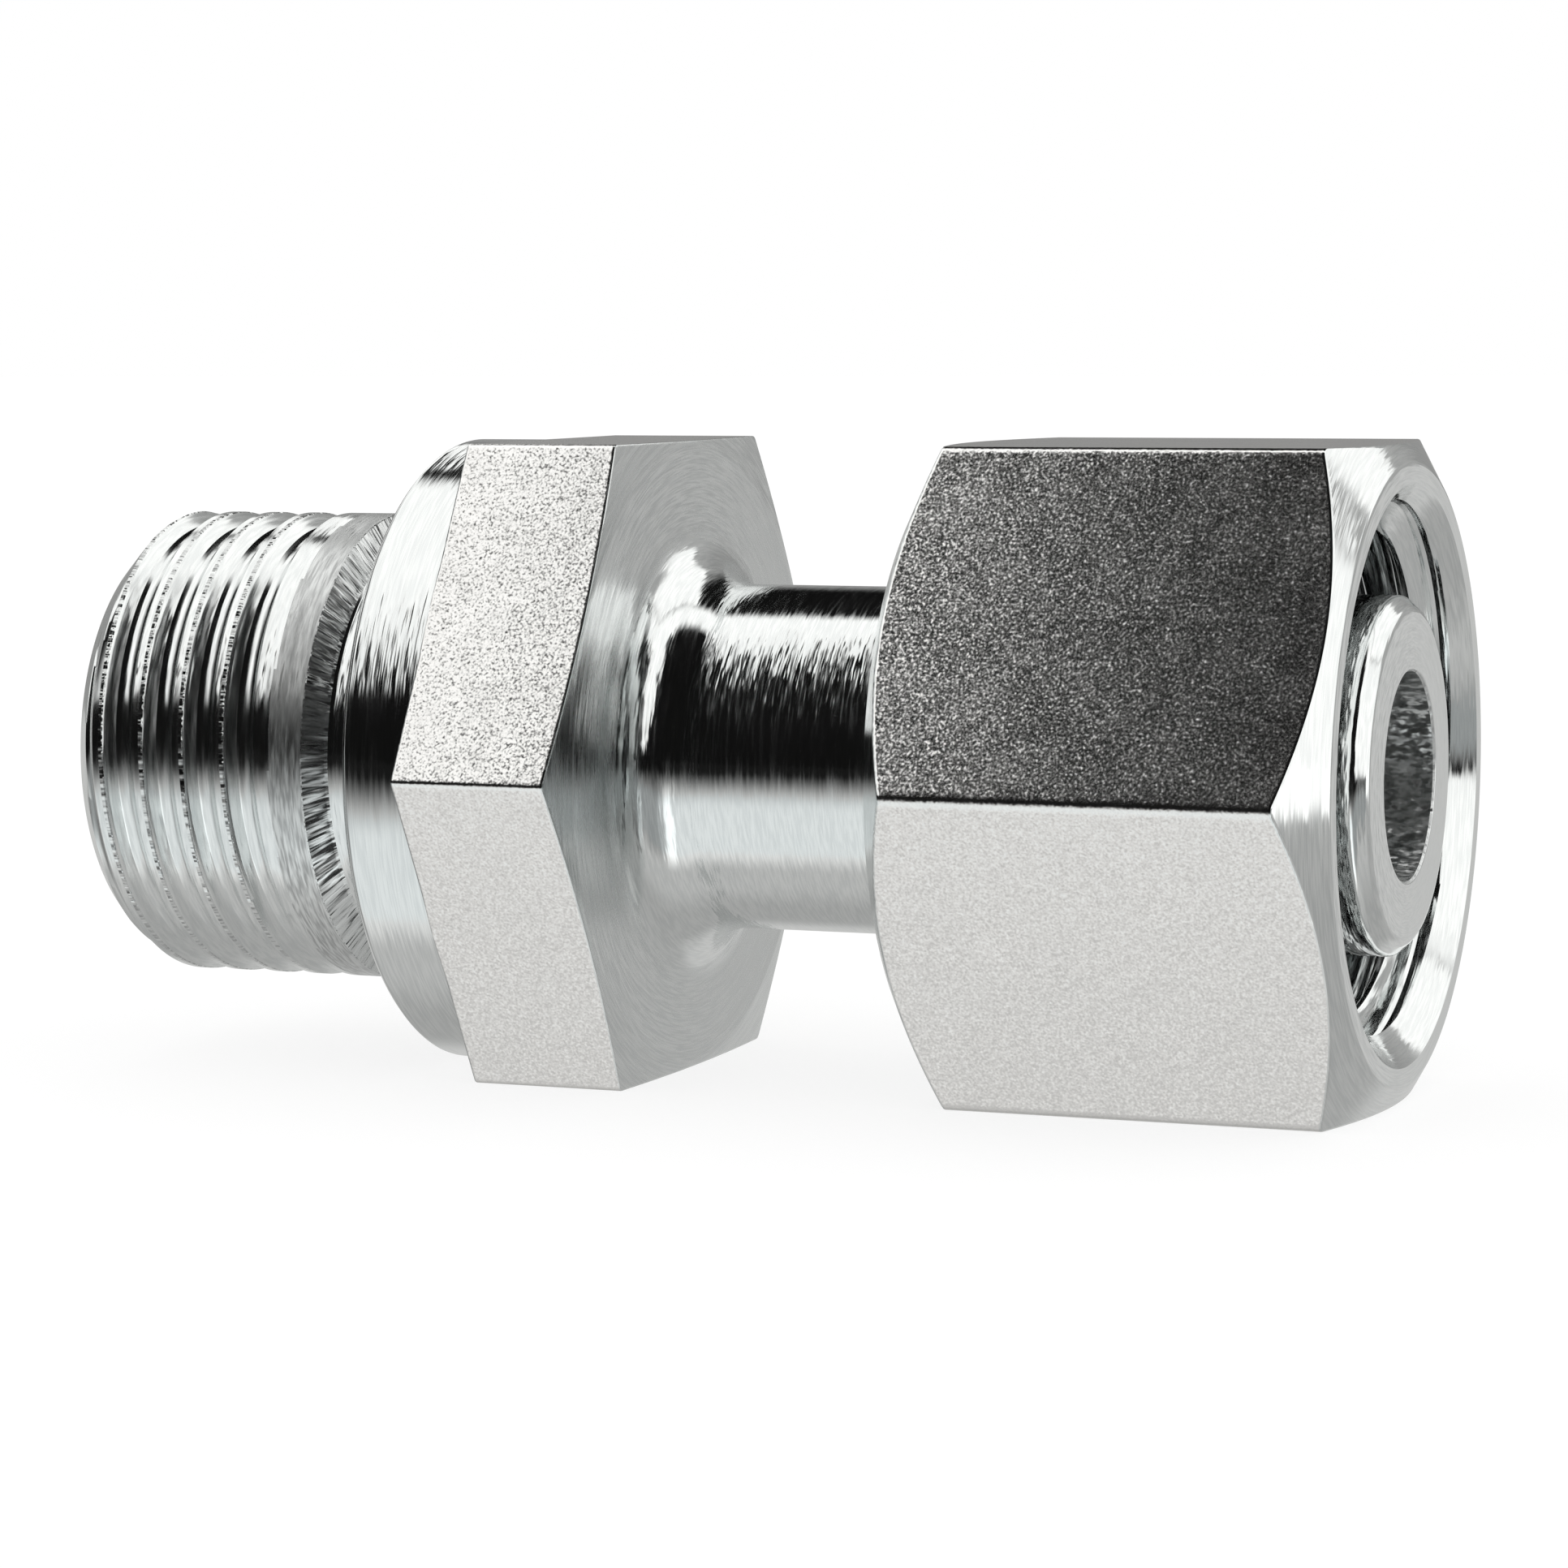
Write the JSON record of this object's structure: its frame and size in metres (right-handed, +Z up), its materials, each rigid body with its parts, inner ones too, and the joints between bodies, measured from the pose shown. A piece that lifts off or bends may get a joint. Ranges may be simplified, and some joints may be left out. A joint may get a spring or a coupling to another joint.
{
  "type": "screw-in compression fitting",
  "caption": "Straight adjustable screw-in compression fitting: parallel threaded stud, sealing collar, hexagon, tube spigot, loose union nut and cutting ring.",
  "frame": {"origin": "on the axis of the through bore, in the plane of the collar's sealing face", "axes": "+X along the axis from the stud to the spigot, +Z up, two flats of each hexagon level"},
  "size_m": [0.046, 0.0254, 0.022],
  "materials": {
    "plated_steel_body": "bright zinc-plated, turned",
    "plated_steel_nut": "bright zinc-plated, drawn hexagon with turned ends",
    "hardened_steel": "fine turned",
    "seal_rubber": "satin moulded"
  },
  "bodies": {
    "stud_body": {"fitting_body": "plated_steel_body", "stud_seal_ring": "seal_rubber"},
    "ring": {"cutting_ring": "hardened_steel"},
    "nut": {"union_nut": "plated_steel_nut"}
  },
  "joints": [
    {"name": "ring_and_nut_slide", "type": "slide", "parent": "stud_body", "child": "ring", "axis": [1, 0, 0], "range_m": [-0.0077, 0.016]},
    {"name": "nut_turn", "type": "hinge", "parent": "ring", "child": "nut", "pos_m": [0.026, 0, 0], "axis": [1, 0, 0], "continuous": true}
  ]
}
